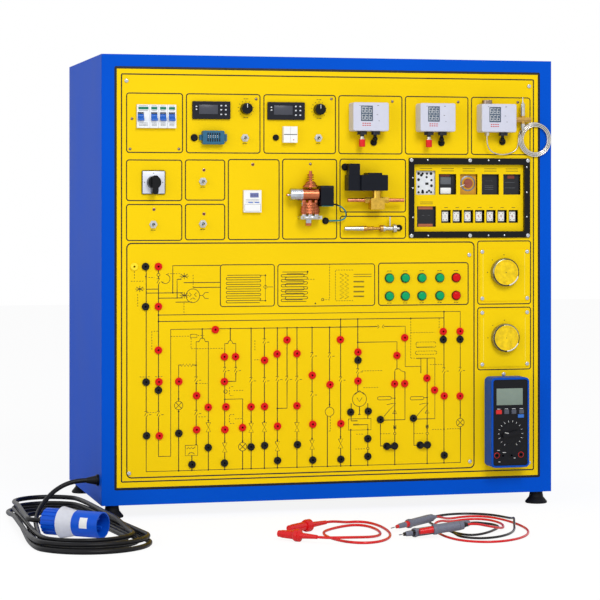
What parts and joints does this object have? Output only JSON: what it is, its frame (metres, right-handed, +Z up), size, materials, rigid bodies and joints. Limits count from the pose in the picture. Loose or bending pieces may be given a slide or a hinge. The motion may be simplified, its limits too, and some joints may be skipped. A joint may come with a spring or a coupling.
{
  "type": "air conditioning trainer",
  "caption": "Upright bench cabinet whose front panel carries breakers, controllers, valves, relays, dials, a multimeter and a field of patch sockets, with its mains cable and leads",
  "frame": {"origin": "on the floor under the middle of the box of the cabinet and the devices on it", "axes": "+X to the viewer's right, +Y from the front panel to the rear, +Z up"},
  "size_m": [1.0945, 0.9062, 0.892],
  "materials": {
    "black_plastic": "gloss",
    "black_rubber": "matt",
    "blue_enamel": "satin",
    "blue_plastic": "matt",
    "blue_rubber": "matt",
    "brass": "satin",
    "chrome_metal": "polished",
    "copper": "satin",
    "green_lens": "gloss",
    "grey_plastic": "matt",
    "red_lens": "gloss",
    "red_plastic": "gloss",
    "steel": "satin",
    "white_plastic": "matt",
    "yellow_enamel": "satin"
  },
  "bodies": {
    "trainer": {"cabinet_shell": "blue_enamel", "rear_cover": "blue_enamel", "front_panel": "yellow_enamel", "fasteners": "steel", "rubber_feet": "black_rubber", "din_rails": "steel", "breaker_bodies": "white_plastic", "temperature_controllers": "black_plastic", "switch_bodies": "steel", "din_modules": "white_plastic", "humidity_sensor": "white_plastic", "wire_grommets": "black_rubber", "green_lamps": "green_lens", "red_lamps": "red_lens", "red_sockets": "red_plastic", "black_sockets": "black_plastic", "pressure_switch_cases": "grey_plastic", "pressure_fittings": "steel", "capillary_tube": "copper", "sensing_probes": "brass", "reversing_valve": "copper", "valve_coils": "black_plastic", "solenoid_valve": "brass", "relay_frame": "black_plastic", "relay_plate": "steel", "control_relays": "black_plastic", "dial_bodies": "yellow_enamel", "multimeter_boot": "blue_rubber", "multimeter_case": "black_plastic", "power_cable": "black_rubber", "power_cable_coil": "black_rubber", "cable_gland": "black_rubber", "mains_plug": "black_plastic", "patch_lead": "red_plastic", "patch_plugs": "red_plastic", "test_lead_red": "red_plastic", "test_lead_black": "black_rubber", "test_probes": "grey_plastic"},
    "rccb_lever": {"rccb_lever": "blue_plastic"},
    "breaker_lever_1": {"breaker_lever_1": "blue_plastic"},
    "breaker_lever_2": {"breaker_lever_2": "blue_plastic"},
    "breaker_lever_3": {"breaker_lever_3": "blue_plastic"},
    "temperature_knob": {"temperature_knob": "black_plastic"},
    "humidity_knob": {"humidity_knob": "black_plastic"},
    "toggle_lever_1": {"toggle_lever_1": "steel"},
    "toggle_lever_2": {"toggle_lever_2": "steel"},
    "toggle_lever_3": {"toggle_lever_3": "steel"},
    "toggle_lever_4": {"toggle_lever_4": "steel"},
    "toggle_lever_5": {"toggle_lever_5": "steel"},
    "cam_switch_handle": {"cam_switch_handle": "black_plastic"},
    "upper_dial": {"upper_dial": "chrome_metal"},
    "lower_dial": {"lower_dial": "chrome_metal"},
    "meter_selector": {"meter_selector": "black_plastic"},
    "meter_power_key": {"meter_power_key": "red_plastic"},
    "meter_range_key": {"meter_range_key": "grey_plastic"},
    "meter_hold_key": {"meter_hold_key": "grey_plastic"},
    "meter_light_key": {"meter_light_key": "grey_plastic"},
    "meter_mode_key": {"meter_mode_key": "blue_plastic"},
    "thermostat_knob": {"thermostat_knob": "black_plastic"},
    "timer_dial": {"timer_dial": "red_plastic"}
  },
  "joints": [
    {"name": "rccb_lever_throw", "type": "hinge", "parent": "trainer", "child": "rccb_lever", "pos_m": [-0.3823, -0.19825, 0.772], "axis": [-1, 0, 0], "range_deg": [0, 80]},
    {"name": "breaker_lever_1_throw", "type": "hinge", "parent": "trainer", "child": "breaker_lever_1", "pos_m": [-0.3562, -0.19825, 0.772], "axis": [-1, 0, 0], "range_deg": [0, 80]},
    {"name": "breaker_lever_2_throw", "type": "hinge", "parent": "trainer", "child": "breaker_lever_2", "pos_m": [-0.3389, -0.19825, 0.772], "axis": [-1, 0, 0], "range_deg": [0, 80]},
    {"name": "breaker_lever_3_throw", "type": "hinge", "parent": "trainer", "child": "breaker_lever_3", "pos_m": [-0.3216, -0.19825, 0.772], "axis": [-1, 0, 0], "range_deg": [0, 80]},
    {"name": "toggle_1_throw", "type": "hinge", "parent": "trainer", "child": "toggle_lever_1", "pos_m": [-0.176, -0.19725, 0.732], "axis": [-1, 0, 0], "range_deg": [0, 25]},
    {"name": "toggle_2_throw", "type": "hinge", "parent": "trainer", "child": "toggle_lever_2", "pos_m": [-0.0286, -0.19725, 0.733], "axis": [-1, 0, 0], "range_deg": [0, 25]},
    {"name": "toggle_3_throw", "type": "hinge", "parent": "trainer", "child": "toggle_lever_3", "pos_m": [-0.2595, -0.19725, 0.647], "axis": [-1, 0, 0], "range_deg": [0, 25]},
    {"name": "toggle_4_throw", "type": "hinge", "parent": "trainer", "child": "toggle_lever_4", "pos_m": [-0.3569, -0.19725, 0.564], "axis": [-1, 0, 0], "range_deg": [0, 25]},
    {"name": "toggle_5_throw", "type": "hinge", "parent": "trainer", "child": "toggle_lever_5", "pos_m": [-0.2595, -0.19725, 0.565], "axis": [-1, 0, 0], "range_deg": [0, 25]},
    {"name": "temperature_knob_turn", "type": "hinge", "parent": "trainer", "child": "temperature_knob", "pos_m": [-0.174, -0.19425, 0.7887], "axis": [0, 1, 0], "range_deg": [-135, 135]},
    {"name": "humidity_knob_turn", "type": "hinge", "parent": "trainer", "child": "humidity_knob", "pos_m": [-0.027, -0.19425, 0.7887], "axis": [0, 1, 0], "range_deg": [-135, 135]},
    {"name": "cam_switch_turn", "type": "hinge", "parent": "trainer", "child": "cam_switch_handle", "pos_m": [-0.3565, -0.19425, 0.645], "axis": [0, 1, 0], "range_deg": [0, 270]},
    {"name": "upper_dial_turn", "type": "hinge", "parent": "trainer", "child": "upper_dial", "pos_m": [0.3555, -0.19425, 0.467], "axis": [0, 1, 0], "range_deg": [0, 270]},
    {"name": "lower_dial_turn", "type": "hinge", "parent": "trainer", "child": "lower_dial", "pos_m": [0.3565, -0.19425, 0.336], "axis": [0, 1, 0], "range_deg": [0, 270]},
    {"name": "meter_selector_turn", "type": "hinge", "parent": "trainer", "child": "meter_selector", "pos_m": [0.3555, -0.19425, 0.1475], "axis": [0, 1, 0], "range_deg": [-150, 150]},
    {"name": "thermostat_knob_turn", "type": "hinge", "parent": "trainer", "child": "thermostat_knob", "pos_m": [0.3147, -0.21025, 0.81], "axis": [0, 0, 1], "range_deg": [0, 300]},
    {"name": "timer_dial_turn", "type": "hinge", "parent": "trainer", "child": "timer_dial", "pos_m": [0.284, -0.19425, 0.6448], "axis": [0, 1, 0], "range_deg": [0, 270]},
    {"name": "meter_power_key_press", "type": "slide", "parent": "trainer", "child": "meter_power_key", "axis": [0, 1, 0], "range_m": [0, 0.001], "stiffness_N_per_m": 300},
    {"name": "meter_range_key_press", "type": "slide", "parent": "trainer", "child": "meter_range_key", "axis": [0, 1, 0], "range_m": [0, 0.001], "stiffness_N_per_m": 300},
    {"name": "meter_hold_key_press", "type": "slide", "parent": "trainer", "child": "meter_hold_key", "axis": [0, 1, 0], "range_m": [0, 0.001], "stiffness_N_per_m": 300},
    {"name": "meter_light_key_press", "type": "slide", "parent": "trainer", "child": "meter_light_key", "axis": [0, 1, 0], "range_m": [0, 0.001], "stiffness_N_per_m": 300},
    {"name": "meter_mode_key_press", "type": "slide", "parent": "trainer", "child": "meter_mode_key", "axis": [0, 1, 0], "range_m": [0, 0.001], "stiffness_N_per_m": 300}
  ]
}
